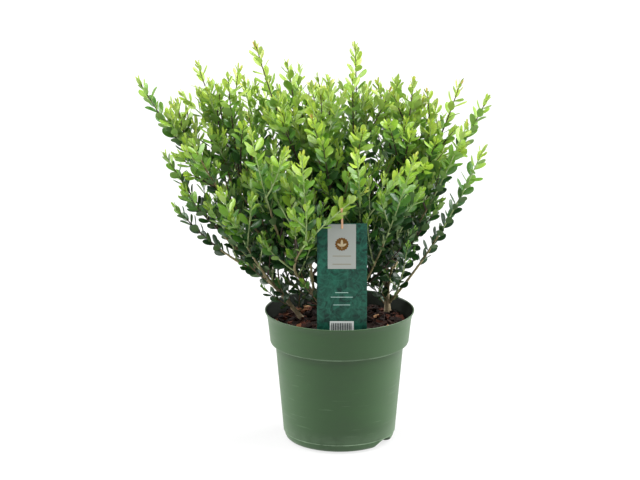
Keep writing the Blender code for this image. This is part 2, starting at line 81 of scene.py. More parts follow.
def plain_finish(name, colour, roughness, specular=0.5):
    """A new material, with its node tree and its shader."""
    made = bpy.data.materials.new(name)
    made.use_nodes = True
    shader = made.node_tree.nodes["Principled BSDF"]
    shader.inputs["Base Color"].default_value = linear(colour)
    shader.inputs["Roughness"].default_value = roughness
    shader.inputs["Specular IOR Level"].default_value = specular
    return made, made.node_tree, shader


def start_piece():
    """Leaves edit mode and selects nothing, so that the next operator acts on its own piece."""
    if bpy.context.object and bpy.context.object.mode != "OBJECT":
        bpy.ops.object.mode_set(mode="OBJECT")
    bpy.ops.object.select_all(action="DESELECT")


def take_up(piece):
    """Makes a piece the one that the next operator acts on."""
    start_piece()
    piece.select_set(True)
    bpy.context.view_layer.objects.active = piece


scene = bpy.context.scene
scene.view_settings.view_transform = "Standard"
scene.view_settings.look = "None"

start_piece()
bpy.ops.object.camera_add(location=CAMERA_PLACE, rotation=(math.radians(90 - CAMERA_DOWN), 0, 0))
scene.camera = bpy.context.object
scene.camera.data.lens = CAMERA_LENS
scene.camera.data.sensor_width = CAMERA_SENSOR
scene.camera.data.clip_end = CAMERA_SEES_TO

start_piece()
bpy.ops.mesh.primitive_circle_add(
    vertices=128, radius=FLOOR_RADIUS, fill_type="NGON", location=(0, 0, -FLOOR_DROP)
)
floor = bpy.context.object
floor.name = "floor"
# White studio paper: dull, with a little light of its own so that it stays white.
floor_finish, _, shader = plain_finish("white_studio_floor", "#5E5E5E", 0.9)
shader.inputs["Emission Color"].default_value = WHITE
shader.inputs["Emission Strength"].default_value = FLOOR_GLOW
floor.data.materials.append(floor_finish)

for turn, lean, strength in LIGHTS:
    bpy.ops.object.light_add(
        type="SUN", location=(0, 0, 3), rotation=(math.radians(lean), 0, math.radians(turn))
    )
    bpy.context.object.data.energy = strength
    bpy.context.object.data.angle = math.radians(LIGHT_SPREAD)

room = bpy.data.worlds.new("room")
room.use_nodes = True
room.node_tree.nodes["Background"].inputs["Color"].default_value = WHITE
room.node_tree.nodes["Background"].inputs["Strength"].default_value = ROOM_LIGHT
scene.world = room


# Pot. An injection-moulded polypropylene nursery pot: a tapered wall on a rounded foot, a
# deeper collar under the rim that nests on the next pot, and two notches in the thick base.
POT_SIDES = 160
# The radius and height of each ring: out along the underside, up, over the rim, and down.
POT_RINGS = (
    (0.0600, 0.0), (0.0623, 0.0006), (0.0655, 0.0019), (0.0680, 0.0040),
    (0.0694, 0.0070), (0.0700, 0.0109), (0.0707, 0.0114), (0.0712, 0.0120),
    (0.0741, 0.0450), (0.0778, 0.0865), (0.0808, 0.1205), (0.0813, 0.1245),
    (0.0822, 0.1262), (0.0850, 0.1272), (0.0872, 0.1284), (0.0880, 0.1302),
    (0.0882, 0.1325), (0.0903, 0.1520), (0.0911, 0.1580), (0.0919, 0.1625),
    (0.0930, 0.1658), (0.0941, 0.1677), (0.0946, 0.1688), (0.0946, 0.1696),
    (0.0942, 0.1700), (0.0935, 0.1699), (0.0928, 0.1690), (0.0905, 0.1640),
    (0.0885, 0.1520), (0.0863, 0.1320), (0.0794, 0.1247), (0.0694, 0.0125),
)
# Pale bands of rubbed wear and dust, with a painted highlight along the foot step: the height of
# each, how far it reaches up and down, and its strength.
SCUFFS_DUST_AND_HIGHLIGHT = ((0.1274, 0.0022, 0.55), (0.0113, 0.0011, 1.0), (0.0150, 0.0130, 0.10))
NOTCH_AZIMUTHS = (-33, 147)
NOTCH_AT = 0.0700
NOTCH_WIDTH = 0.038
NOTCH_HEIGHT = 0.0105
NOTCH_DEPTH = 0.020
# Painted shade on the inside wall of the pot: the heights where it starts and ends.
SHADED_INSIDE_FROM = 0.02
SHADED_INSIDE_TO = 0.1685


def add_node(tree, kind, inputs=None, **settings):
    """Adds a shader node with its settings, and its inputs as values or as links."""
    made = tree.nodes.new("ShaderNode" + kind)
    for name, value in settings.items():
        setattr(made, name, value)
    for name, value in (inputs or {}).items():
        if isinstance(value, bpy.types.NodeSocket):
            tree.links.new(value, made.inputs[name])
        else:
            made.inputs[name].default_value = value
    return made


def object_place(tree):
    """Each point's place in its piece's own space."""
    return add_node(tree, "TexCoord").outputs["Object"]


def stretch(tree, place, *scale):
    """A place with its three parts multiplied."""
    return add_node(tree, "Mapping", {"Vector": place, "Scale": scale}).outputs["Vector"]


def noise(tree, place, scale, detail=2.0, roughness=0.5, distortion=0.0):
    """A cloudy value from 0 to 1."""
    inputs = {"Scale": scale, "Detail": detail, "Roughness": roughness, "Distortion": distortion}
    return add_node(tree, "TexNoise", {"Vector": place, **inputs}).outputs["Fac"]


def combine(tree, operation, *values):
    """The result of a sum on one or two values."""
    return add_node(tree, "Math", dict(enumerate(values)), operation=operation).outputs["Value"]


def ranged(tree, value, start, end, low=0.0, high=1.0):
    """A value that goes from low to high while this one goes from start to end."""
    made = add_node(tree, "MapRange", {"Value": value, 1: start, 2: end, 3: low, 4: high})
    return made.outputs["Result"]


def mixed(tree, share, first, second):
    """The first colour with this share of the second."""
    made = add_node(tree, "Mix", {"Factor": share, "A": first, "B": second}, data_type="RGBA")
    return made.outputs["Result"]


def ramped(tree, value, *stops):
    """A colour between two stops, each a value with its colour."""
    made = add_node(tree, "ValToRGB", {"Fac": value})
    for element, (position, colour) in zip(made.color_ramp.elements, stops):
        element.position = position
        element.color = linear(colour)
    return made.outputs["Color"]


def emboss(tree, shader, *layers):
    """Fine relief, in layers that each have a height, a strength and a depth."""
    normal = None
    for height, strength, depth in layers:
        made = add_node(tree, "Bump", {"Height": height, "Strength": strength, "Distance": depth})
        if normal is not None:
            tree.links.new(normal, made.inputs["Normal"])
        normal = made.outputs["Normal"]
    tree.links.new(normal, shader.inputs["Normal"])


def turned(rings, sides):
    """A solid turned from rings of radius and height, left in edit mode at its last ring."""
    start_piece()
    bpy.ops.mesh.primitive_circle_add(
        vertices=sides, radius=rings[0][0], fill_type="NGON", location=(0, 0, rings[0][1])
    )
    made = bpy.context.object
    bpy.ops.object.mode_set(mode="EDIT")
    for (low_r, low_z), (high_r, high_z) in zip(rings, rings[1:]):
        bpy.ops.mesh.extrude_region_move(TRANSFORM_OT_translate={"value": (0, 0, high_z - low_z)})
        bpy.ops.transform.resize(
            value=(high_r / low_r, high_r / low_r, 1), center_override=(0, 0, high_z)
        )
    return made


def face_outwards(piece):
    """Turns the faces of a closed piece outwards, and leaves edit mode."""
    if piece.mode != "EDIT":
        take_up(piece)
        bpy.ops.object.mode_set(mode="EDIT")
    bpy.ops.mesh.select_all(action="SELECT")
    bpy.ops.mesh.normals_make_consistent(inside=False)
    start_piece()


def subtract(piece, cutter):
    """Cuts one object out of a piece, and removes that object."""
    cut = piece.modifiers.new("cut", "BOOLEAN")
    cut.operation = "DIFFERENCE"
    cut.object = cutter
    bpy.context.view_layer.objects.active = piece
    bpy.ops.object.modifier_apply(modifier="cut")
    bpy.data.objects.remove(cutter)


def settle(piece, name, finish, replaced, smooth=35):
    """Names a finished piece, gives it its finish, and fixes it to the plant's one body."""
    piece.name = piece.data.name = name
    take_up(piece)
    bpy.ops.object.transform_apply(location=True, rotation=True, scale=True)
    bpy.ops.object.shade_smooth_by_angle(angle=math.radians(smooth))
    piece.data.materials.clear()
    piece.data.materials.append(finish)
    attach(piece, "root")
    if replaced:
        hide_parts(*replaced)
    return piece


pot = turned(POT_RINGS, POT_SIDES)
face_outwards(pot)
for azimuth in NOTCH_AZIMUTHS:
    turn = math.radians(azimuth)
    bpy.ops.mesh.primitive_cylinder_add(
        vertices=48,
        radius=NOTCH_WIDTH / 2,
        depth=2 * NOTCH_DEPTH,
        location=(NOTCH_AT * math.cos(turn), NOTCH_AT * math.sin(turn), 0),
        rotation=(0, math.radians(90), turn),
    )
    cutter = bpy.context.object
    cutter.scale = (NOTCH_HEIGHT / (NOTCH_WIDTH / 2), 1, 1)
    subtract(pot, cutter)

# Polypropylene, moulded and satin: broad soft reflections, paler at a slant under a film of dust,
# with faint scuffs, rings from the turned mould, and paler bands of rubbed wear and dust and a
# painted highlight.
pot_finish, tree, shader = plain_finish("moulded_polypropylene", "#284A22", 0.42)
place = object_place(tree)
scuff = noise(tree, stretch(tree, place, 14, 14, 60), 1.0, 6.0, 0.62)
wear_and_highlight = ramped(tree, scuff, (0.36, "#173910"), (0.74, "#1C4015"))
pale = linear("#8CA888")
level = add_node(tree, "SeparateXYZ", {"Vector": place}).outputs["Z"]
patches = ranged(tree, noise(tree, place, 38.0, 5.0, 0.7), 0.34, 0.60)
# Pale bands: scuffs at the collar's fold, a painted highlight on the foot step, and dust near the
# bottom.
for band, breadth, strength in SCUFFS_DUST_AND_HIGHLIGHT:
    away = combine(tree, "ABSOLUTE", combine(tree, "SUBTRACT", level, band))
    near = ranged(tree, away, 0.0, breadth, strength, 0.0)
    wear_and_highlight = mixed(tree, combine(tree, "MULTIPLY", near, patches), wear_and_highlight, pale)
marks = noise(tree, stretch(tree, place, 24, 24, 300), 1.0)
wear_and_highlight = mixed(tree, ranged(tree, marks, 0.68, 0.84, 0.0, 0.16), wear_and_highlight, pale)
tree.links.new(wear_and_highlight, shader.inputs["Base Color"])
tree.links.new(ranged(tree, scuff, 0.3, 0.8, 0.44, 0.60), shader.inputs["Roughness"])
shader.inputs["Sheen Weight"].default_value = 0.15
shader.inputs["Sheen Tint"].default_value = linear("#D0EAC8")
shader.inputs["Sheen Roughness"].default_value = 0.5
rings = add_node(
    tree, "TexWave", {"Vector": place, "Scale": 60.0, "Distortion": 0.4}, bands_direction="Z"
)
pits = noise(tree, place, 900.0)
emboss(tree, shader, (rings.outputs["Fac"], 0.05, 0.0003), (pits, 0.12, 0.0002))
settle(pot, "nursery_pot", pot_finish, ["pot"])
# The inside above the soil: the same plastic, dull, and coloured near black as painted shade
# under the rim and the leaves.
painted_shade_finish, _, _ = plain_finish("polypropylene_painted_shade", "#121A10", 0.8, 0.2)
pot.data.materials.append(painted_shade_finish)
for face in pot.data.polygons:
    facing_in = face.normal.xy.dot(face.center.xy) < 0
    if facing_in and SHADED_INSIDE_FROM < face.center.z < SHADED_INSIDE_TO:
        face.material_index = 1


# Soil. Moist composted bark filled to 18 mm below the rim: a lumpy dark surface under
# loose bark chips and a few pale splinters.
SOIL_TOP = 0.152
SOIL_RINGS = ((0.0690, 0.0128), (0.0788, 0.1240), (0.0857, 0.1325), (0.0879, 0.1505))
SOIL_SIDES = 120
SOIL_STEP = 0.0035
SOIL_RISE = 0.0012
SOIL_LUMP = 0.0021
SOIL_EDGE = 0.006
CHIP_FINISHES = (
    ("dark_bark_chip", "#180D08", 130),
    ("brown_bark_chip", "#33190F", 90),
    ("red_bark_chip", "#5C2B18", 56),
    ("tan_bark_chip", "#84502E", 18),
    ("pale_splinter", "#E0AC7E", 10),
)
CHIP_LENGTH = 0.0120
CHIP_WIDTH = 0.0064
CHIP_THICKNESS = 0.0026
CHIPS_WITHIN = 0.0835
CHIPS_END = 0.0865
CHIPS_LIE_AT = 0.1515
CHIP_LEAN = 0.30
SPLINTER_WIDTH = 0.45


def array_piece(name, points, faces):
    """A new object from its points and faces."""
    mesh = bpy.data.meshes.new(name)
    mesh.from_pydata(np.asarray(points).tolist(), [], faces)
    mesh.validate()
    made = bpy.data.objects.new(name, mesh)
    scene.collection.objects.link(made)
    return made


def grain_noise(places, size, seed):
    """A smooth value from about -1 to 1 at each place, with lumps of about this size."""
    draw = np.random.default_rng(seed)
    total = np.zeros(len(places))
    for octave in range(3):
        waves = draw.normal(size=(10, 3))
        waves /= np.linalg.norm(waves, axis=1)[:, None]
        turns = draw.uniform(0.7, 1.5, 10) * 2 * math.pi / (size / 1.9**octave)
        starts = draw.uniform(0, 2 * math.pi, 10)
        total += np.sin(places @ waves.T * turns + starts).sum(axis=1) / (4 * 1.7**octave)
    return total


soil = turned(SOIL_RINGS, SOIL_SIDES)
soil_r, soil_z = SOIL_RINGS[-1]
for step in range(int(soil_r / SOIL_STEP) - 1):
    bpy.ops.mesh.inset(thickness=SOIL_STEP, depth=0)
face_outwards(soil)
places = np.array([vertex.co for vertex in soil.data.vertices])
lumps = grain_noise(places, 0.017, 3) + 0.45 * grain_noise(places, 0.006, 4)
for vertex, lump in zip(soil.data.vertices, lumps):
    if vertex.co.z > soil_z - 1e-5:
        edge = min(1.0, (soil_r - vertex.co.xy.length) / SOIL_EDGE)
        vertex.co.z += edge * (SOIL_RISE + SOIL_LUMP * lump)

# Moist bark compost: nearly black brown, crumbly, dull, with wet specks.
soil_finish, tree, shader = plain_finish("moist_bark_compost", "#24150F", 0.9, 0.25)
crumbs = noise(tree, object_place(tree), 420.0, 5.0, 0.7)
tint = ramped(tree, crumbs, (0.35, "#0E0806"), (0.75, "#372016"))
tree.links.new(tint, shader.inputs["Base Color"])
emboss(tree, shader, (crumbs, 0.9, 0.0015))
settle(soil, "bark_compost", soil_finish, ["soil"], smooth=60)


def chip_shape(seed):
    """One bark chip a unit long, wide and thick, broken off crooked at its ends."""
    draw = random.Random(seed)
    start_piece()
    bpy.ops.mesh.primitive_cube_add(size=1)
    chip = bpy.context.object
    bpy.ops.object.mode_set(mode="EDIT")
    bpy.ops.mesh.subdivide(number_cuts=1)
    start_piece()
    for vertex in chip.data.vertices:
        taper = 1 - 0.45 * abs(vertex.co.x) * 2 * draw.uniform(0.2, 1)
        vertex.co.y = vertex.co.y * taper + draw.uniform(-0.08, 0.08)
        vertex.co.x += draw.uniform(-0.09, 0.09)
        vertex.co.z += draw.uniform(-0.2, 0.2) + 0.5 * (vertex.co.x**2)
    points = np.array([vertex.co for vertex in chip.data.vertices])
    faces = [list(face.vertices) for face in chip.data.polygons]
    bpy.data.objects.remove(chip)
    return points, faces


chip_shapes = [chip_shape(seed) for seed in range(6)]
draw = random.Random(21)
for finish_name, colour, count in CHIP_FINISHES:
    points, faces = [], []
    slim = SPLINTER_WIDTH if finish_name == "pale_splinter" else 1.0
    for k in range(count):
        radius = CHIPS_WITHIN * math.sqrt(draw.random())
        azimuth = draw.uniform(0, 2 * math.pi)
        shape_points, shape_faces = chip_shapes[draw.randrange(len(chip_shapes))]
        length = CHIP_LENGTH * draw.uniform(0.45, 1.35)
        width = CHIP_WIDTH * draw.uniform(0.5, 1.3) * slim
        thickness = CHIP_THICKNESS * draw.uniform(0.7, 1.4)
        lean = Matrix.Rotation(draw.gauss(0, CHIP_LEAN), 4, "X")
        lean = lean @ Matrix.Rotation(draw.gauss(0, CHIP_LEAN), 4, "Y")
        turn = Matrix.Rotation(draw.uniform(0, 2 * math.pi), 4, "Z")
        radius -= max(0, radius + length / 2 - CHIPS_END)
        lift = CHIPS_LIE_AT + draw.uniform(0.0005, 0.0040)
        spot = (radius * math.cos(azimuth), radius * math.sin(azimuth), lift)
        size = Matrix.Diagonal((length, width, thickness, 1))
        moves = np.array(Matrix.Translation(spot) @ turn @ lean @ size)
        faces += [[len(points) + corner for corner in face] for face in shape_faces]
        points += (moves[:3, :3] @ shape_points.T + moves[:3, 3:4]).T.tolist()
    chips = array_piece(finish_name, points, faces)
    # Pine bark, broken and weathered: dull, with darker flakes across its grain.
    chip_finish, tree, shader = plain_finish(finish_name, colour, 0.85, 0.25)
    flakes = noise(tree, object_place(tree), 500.0, 4.0)
    shade = mixed(tree, flakes, linear(colour), linear("#1E110C"))
    tree.links.new(shade, shader.inputs["Base Color"])
    emboss(tree, shader, (flakes, 0.6, 0.0006))
    settle(chips, finish_name, chip_finish, [], smooth=25)


# Stems and boughs. Thin grey-brown bark over young wood, ridged and dotted with lenticels.
# Four stems leave the soil with a flared foot, and each bough is one tapering limb.
# Each stem: its foot in x and y, its top, and its radius at either end.
STEMS = {
    "left": ((-0.005, -0.003), (-0.100, -0.005, 0.271), 0.0034, 0.0022),
    "low_left": ((-0.047, 0.014), (-0.112, 0.006, 0.229), 0.0026, 0.0018),
    "centre": ((0.016, 0.026), (0.006, 0.014, 0.262), 0.0035, 0.0024),
    "right": ((0.062, 0.041), (0.058, 0.036, 0.272), 0.0035, 0.0024),
}
STEM_ARCH = 0.10
STEM_FLARE = 1.7
FLARE_HEIGHT = 0.0075
# Each bough: its stem, the share of the stem at which it forks off, the azimuth, reach and
# height of the tip of its leading shoot, and how far it bows to its left.
BOUGHS = {
    "far_left": ("left", 1.00, 180, 0.256, 0.470, 0.00),
    "upper_left": ("left", 0.84, 172, 0.183, 0.488, -0.08),
    "back_left": ("left", 0.72, 135, 0.170, 0.445, 0.00),
    "front_left": ("left", 0.58, 220, 0.146, 0.426, 0.00),
    "low_front": ("left", 0.46, 285, 0.094, 0.348, -0.56),
    "inner_left": ("left", 0.28, 248, 0.127, 0.404, 0.00),
    "low_left": ("low_left", 1.00, 173, 0.228, 0.370, 0.00),
    "lowest_left": ("low_left", 0.76, 182, 0.214, 0.308, 0.10),
    "front_low_left": ("low_left", 0.52, 211, 0.176, 0.352, 0.00),
    "low_back_left": ("low_left", 0.30, 140, 0.186, 0.335, 0.00),
    "tall_centre": ("centre", 1.00, 346, 0.021, 0.518, 0.00),
    "tall_left": ("centre", 0.84, 195, 0.112, 0.522, 0.00),
    "top_left": ("centre", 0.70, 140, 0.092, 0.482, 0.00),
    "top_middle": ("centre", 0.56, 238, 0.050, 0.468, 0.00),
    "back_centre": ("centre", 0.46, 96, 0.151, 0.445, 0.00),
    "front_centre": ("centre", 0.34, 281, 0.114, 0.404, 0.06),
    "low_back": ("centre", 0.22, 104, 0.187, 0.350, 0.00),
    "front_right": ("centre", 0.12, 308, 0.150, 0.400, 0.00),
    "tall_right": ("right", 1.00, 354, 0.094, 0.474, 0.00),
    "upper_right": ("right", 0.87, 2, 0.155, 0.468, 0.00),
    "far_right": ("right", 0.74, 10, 0.194, 0.440, 0.00),
    "back_right": ("right", 0.62, 62, 0.161, 0.445, 0.00),
    "right_front": ("right", 0.50, 342, 0.168, 0.425, 0.00),
    "low_back_right": ("right", 0.37, 41, 0.184, 0.350, 0.00),
    "inner_right": ("right", 0.24, 322, 0.100, 0.352, 0.00),
    "low_right": ("right", 0.10, 350, 0.186, 0.392, 0.00),
}
BOUGH_R = 0.0018
LIMB_TIP_R = 0.0006
WOODY_TO = 0.52
SAG = 0.05
SAG_WHEN_LEVEL = 0.10
SPREAD_WHEN_STEEP = 0.09
TIP_LEAF = 0.022
BARK_STEP = 0.0016
BARK_RELIEF = 0.00055
UP = np.array((0.0, 0.0, 1.0))


def unit(vector):
    return vector / np.linalg.norm(vector)


def curve(start, bend, end, share):
    """The place at this share of a curve that goes from start to end by way of bend."""
    return (1 - share) ** 2 * start + 2 * share * (1 - share) * bend + share**2 * end


def stem_line(name):
    """The curve of a stem's axis, which rises from the soil in a shallow arch."""
    foot, top, _, _ = STEMS[name]
    low = np.array((*foot, SOIL_TOP))
    high = np.array(top)
    knee = (low + high) / 2 + UP * STEM_ARCH * np.linalg.norm(high[:2] - low[:2])
    return lambda share: curve(low, knee, high, share)


def stem_radius(name, share):
    """A stem's radius, which tapers upwards from a flared foot."""
    _, top, foot_r, top_r = STEMS[name]
    flare = 1 + (STEM_FLARE - 1) * math.exp(-share * (top[2] - SOIL_TOP) / FLARE_HEIGHT)
    return (foot_r + (top_r - foot_r) * share) * flare


def limb_line(name):
    """The curve of a bough and its leading shoot, from the stem's axis at 0 to the tip at 1."""
    stem, fork, azimuth, reach, height, bow = BOUGHS[name]
    start = stem_line(stem)(fork)
    angle = math.radians(azimuth)
    tip = np.array((reach * math.cos(angle), reach * math.sin(angle), height))
    tip -= unit(tip - start) * TIP_LEAF
    chord = tip - start
    length = np.linalg.norm(chord)
    level = math.hypot(chord[0], chord[1]) / length
    outwards = np.array((chord[0], chord[1], 0.0)) / (length * level)
    left = np.array((-outwards[1], outwards[0], 0.0))
    sag = SAG + SAG_WHEN_LEVEL * level**3
    spread = SPREAD_WHEN_STEEP * (1 - level)
    bend = (start + tip) / 2 + length * (outwards * spread + left * bow - UP * sag)
    return lambda share: curve(start, bend, tip, share)


def limb_radius(share):
    return BOUGH_R + (LIMB_TIP_R - BOUGH_R) * share


def bark_limbs(name, runs):
    """Bark-covered limbs as one piece. Each run is a list of points with their radii."""
    line = bpy.data.curves.new(name, "CURVE")
    line.dimensions = "3D"
    line.bevel_depth = 1.0
    line.bevel_resolution = 4
    line.use_fill_caps = True
    for run in runs:
        spline = line.splines.new("POLY")
        spline.points.add(len(run) - 1)
        for point, (place, radius) in zip(spline.points, run):
            point.co = (*place, 1)
            point.radius = radius
    limbs = bpy.data.objects.new(name, line)
    scene.collection.objects.link(limbs)
    take_up(limbs)
    bpy.ops.object.convert(target="MESH")
    limbs = bpy.context.object
    bpy.ops.object.mode_set(mode="EDIT")
    bpy.ops.mesh.select_all(action="SELECT")
    bpy.ops.mesh.remove_doubles(threshold=1e-6)
    face_outwards(limbs)
    places = np.array([vertex.co for vertex in limbs.data.vertices])
    outs = np.array([vertex.normal for vertex in limbs.data.vertices])
    stretched = places * np.array((1.0, 1.0, 0.35))
    relief = 0.6 * grain_noise(stretched, 0.0040, 11) + 0.5 * grain_noise(places, 0.0022, 12)
    moved = places + outs * (BARK_RELIEF * 0.5 * relief)[:, None]
    limbs.data.vertices.foreach_set("co", moved.astype(np.float32).ravel())
    limbs.data.update()
    return limbs


def bark_finish(name, pale, dark, lenticel):
    """Young bark: dull, finely cracked along the limb, with small pale lenticels."""
    made, tree, shader = plain_finish(name, pale, 0.78)
    place = object_place(tree)
    cracks = noise(tree, stretch(tree, place, 1, 1, 0.3), 700.0, 5.0)
    base = mixed(tree, noise(tree, place, 90.0, 3.0), linear(pale), linear(dark))
    dots = add_node(tree, "TexVoronoi", {"Vector": place, "Scale": 380.0})
    spots = ranged(tree, dots.outputs["Distance"], 0.16, 0.24, 0.8, 0.0)
    tree.links.new(mixed(tree, spots, base, linear(lenticel)), shader.inputs["Base Color"])
    emboss(tree, shader, (cracks, 0.7, 0.0005))
    return made


def bark_run(line, radius, to=1.0):
    """The points of a limb, each with its radius, close enough together for bark."""
    count = int(to * np.linalg.norm(line(1) - line(0)) / BARK_STEP)
    return [(line(to * k / count), radius(to * k / count)) for k in range(count + 1)]


runs = [bark_run(stem_line(name), partial(stem_radius, name)) for name in STEMS]
bark = bark_finish("grey_brown_bark", "#A89A78", "#70624A", "#C8BA9C")
nodes = ["stem_" + name for name in STEMS]
settle(bark_limbs("stems", runs), "stems", bark, nodes, smooth=70)

runs = [bark_run(limb_line(name), limb_radius, WOODY_TO) for name in BOUGHS]
bark = bark_finish("brown_bark", "#9E9468", "#6C6244", "#BCB08C")
nodes = ["bough_" + name for name in BOUGHS]
settle(bark_limbs("boughs", runs), "boughs", bark, nodes, smooth=70)


# Shoots. This year's and last year's growth: straight, ascending, and thin. The leading
# shoots go on from the boughs, side shoots leave them by the golden angle and turn up to the
# light, and short twigs fork from those.
# Each kind of shoot has draws of its own, by what is added here to the seed.
SEED = 1
LEADER_SEED = 5000
WOOD_SEED = 6000
TWIG_SEED = 9000
TALL_SEED = 60000
LOW_SHAPE_SEED = 70000
LOW_SEED = 80000
SHOOT_TILT = math.radians(36)
SHOOT_BEND_AT = 0.45
SHOOT_RISE = 0.40
SHOOT_FOLLOWS = 0.15
GOLDEN_ANGLE = math.radians(137.5)
LEANS_OUT = 0.45
SHOOTS_BELOW = -0.8
LEAVES_BELOW = 0.5
LEADER_FROM = 0.16
TIP_GROWS = 0.011
SIDE_SHOOT_SPACING = 0.0130
SIDE_SHOOTS_TO = 0.88
SIDE_SHOOT_LONGEST = 0.115
SIDE_SHOOT_SHORTENS = 0.50
SIDE_SHOOT_R = 0.00125
SIDE_TIP_R = 0.00045
TWIG_SPACING = 0.030
TWIG_LENGTH = 0.040
TWIG_R = 0.0007
LOW_TWIG_SPACING = {"left": 0.0064, "low_left": 0.0105, "centre": 0.0042, "right": 0.0050}
LOW_TWIG_LENGTH = 0.058
SHOOT_PIECES = 9
SHOOT_SIDES = 6
SHOOT_WAVER = 0.0011
WAVER_BENDS = 5
WAVER_FULL = 0.08
SHORTEST_LEFT = 0.35
LEADER_PIECES = 14
SIDE_SHOOTS_FROM = 0.05
SHORT_SHOOT = 0.62
BROWN_BELOW = 0.3
PAST_CROWN = 0.009
TWIGS_FILL = 0.6
TWIGS_FROM = 0.15
TWIGS_OVER = 0.5
LOW_TWIGS_BELOW = 0.3
TALL_SHOOT_BEND = 0.012
# How far ordinary shoots fill the crown: its left and right sides over height, and its
# top over x in the middle of its depth. Only leading shoots stand out further.
CROWN_SIDES = (
    (0.200, -0.105, 0.072), (0.240, -0.131, 0.091), (0.267, -0.157, 0.110),
    (0.293, -0.172, 0.127), (0.319, -0.188, 0.139), (0.348, -0.205, 0.149),
    (0.377, -0.219, 0.161), (0.409, -0.224, 0.172), (0.480, -0.215, 0.177),
)
CROWN_TOP = (
    (-0.25, 0.410), (-0.20, 0.435), (-0.165, 0.455), (-0.155, 0.474),
    (-0.130, 0.482), (-0.100, 0.455), (-0.070, 0.458), (-0.040, 0.470),
    (0.00, 0.463), (0.04, 0.455), (0.07, 0.466), (0.10, 0.446),
    (0.125, 0.430), (0.135, 0.405), (0.15, 0.405), (0.16, 0.422),
    (0.19, 0.405),
)
CROWN_TOP_FALLS = 1.2
# Where the side shoots of a bough end, as a share of it.
BARE_FROM = {
    "far_left": 0.72,
    "low_left": 0.52,
    "lowest_left": 0.40,
    "far_right": 0.52,
    "low_right": 0.40,
}
FRONT_BARE_FROM = 0.66
FRONT_BOUGHS = (
    "front_left", "low_front", "inner_left", "front_low_left", "front_centre",
    "front_right", "right_front", "low_right", "inner_right",
)
FRONT_SPACING = 1.15
THIN_BOUGHS = ("right_front", "low_right", "inner_right", "far_right", "low_back_right")
THIN_SPACING = 2.0
# How much older the leaves of a leading shoot look, or younger where it is below nought.
OLDER = {
    "low_front": -0.26,
    "far_left": 0.16,
    "low_left": 0.09,
    "lowest_left": 0.14,
    "far_right": 0.05,
    "low_right": 0.02,
    "tall_left": 0.10,
}
# Long side shoots that stand up out of the crown as leading ones do: each one's bough, where
# it leaves it, and its tip.
TALL_SIDE_SHOOTS = (
    ("upper_left", 0.50, (-0.126, 0.000, 0.478)),
    ("upper_left", 0.42, (-0.138, -0.015, 0.471)),
    ("upper_left", 0.62, (-0.150, 0.012, 0.453)),
    ("top_middle", 0.45, (-0.035, -0.030, 0.464)),
    ("top_middle", 0.60, (-0.011, -0.010, 0.460)),
    ("tall_centre", 0.40, (0.015, -0.030, 0.474)),
    ("tall_right", 0.30, (0.047, -0.010, 0.462)),
    ("upper_right", 0.55, (0.108, 0.000, 0.449)),
    ("far_left", 0.55, (-0.201, 0.000, 0.435)),
    ("tall_right", 0.42, (0.058, -0.062, 0.424)),
    ("tall_right", 0.34, (0.088, -0.054, 0.410)),
    ("upper_right", 0.45, (0.118, -0.046, 0.398)),
    ("upper_right", 0.36, (0.104, -0.066, 0.372)),
    ("tall_centre", 0.34, (0.028, -0.072, 0.416)),
    ("top_middle", 0.40, (-0.022, -0.078, 0.405)),
    ("tall_left", 0.38, (-0.072, -0.060, 0.428)),
    ("upper_left", 0.40, (-0.118, -0.052, 0.420)),
    ("far_right", 0.50, (0.150, -0.030, 0.384)),
    ("upper_right", 0.52, (0.143, 0.000, 0.402)),
    ("far_left", 0.42, (-0.204, -0.020, 0.374)),
    ("far_left", 0.34, (-0.186, -0.030, 0.352)),
    ("low_left", 0.48, (-0.196, -0.010, 0.318)),
    ("low_back_right", 0.50, (0.096, 0.000, 0.262)),
    ("low_back_right", 0.36, (0.088, -0.020, 0.240)),
)
# What the shoots and leaves keep clear of, and by how much.
POT_HEIGHT = 0.170
INSIDE_RIM = 0.086
RIM_CLEARANCE = 0.002
SOIL_CLEARANCE = 0.003
LABEL_X = 0.0025
LABEL_Y = -0.0780
LABEL_WIDTH = 0.0618
LABEL_TOP = 0.3024
FACE_CLEARANCE = 0.004
SIDE_CLEARANCE = 0.002
PAST_SOLIDS = 0.006
SHOOT_FINISHES = {
    "green_shoots": ("#A2B47C", "#869A5E", 0.45),
    "purple_shoots": ("#3A2A26", "#4C3A2E", 0.50),
    "brown_shoots": ("#6B5138", "#86704E", 0.65),
}


def side_frame(along):
    """Two unit vectors across a direction, the second as near to up as can be."""
    aside = np.cross(along, UP)
    if np.linalg.norm(aside) < 0.05:
        aside = np.array((1.0, 0.0, 0.0))
    aside = unit(aside)
    return aside, np.cross(aside, along)


def turned_up(along, angle, below):
    """A direction across a shoot at this angle round it. On a shoot that leans out, the
    downward part of that direction is multiplied by below."""
    aside, over = side_frame(along)
    lift = math.sin(angle)
    if lift < 0 and over @ UP > LEANS_OUT:
        lift *= below
    return aside * math.cos(angle) + over * lift


def along_run(middles):
    """The place at each share, from 0 to 1, of a run of evenly spaced points."""
    middles = np.array(middles)
    marks = np.linspace(0, 1, len(middles))

    def at(share):
        return np.array([np.interp(share, marks, middles[:, axis]) for axis in range(3)])

    return at


def direction(line, share, step=0.01):
    """The direction of a line at one of its shares."""
    return unit(line(share + step) - line(share - step))


def part_of(line, start, end):
    """The points of a line from one of its shares to another."""
    return [line(start + (end - start) * k / LEADER_PIECES) for k in range(LEADER_PIECES + 1)]


def clear(places):
    """True where every place is clear of the pot, the soil and the label's face."""
    x, y, z = np.atleast_2d(places).T
    over_rim = (z > POT_HEIGHT + RIM_CLEARANCE) | (np.hypot(x, y) < INSIDE_RIM)
    over_soil = z > SOIL_TOP + SOIL_CLEARANCE
    before = y < LABEL_Y + FACE_CLEARANCE
    facing = np.abs(x - LABEL_X) < LABEL_WIDTH / 2 + SIDE_CLEARANCE
    level = z < LABEL_TOP - FACE_CLEARANCE
    return (over_rim & over_soil & ~(before & facing & level)).all()


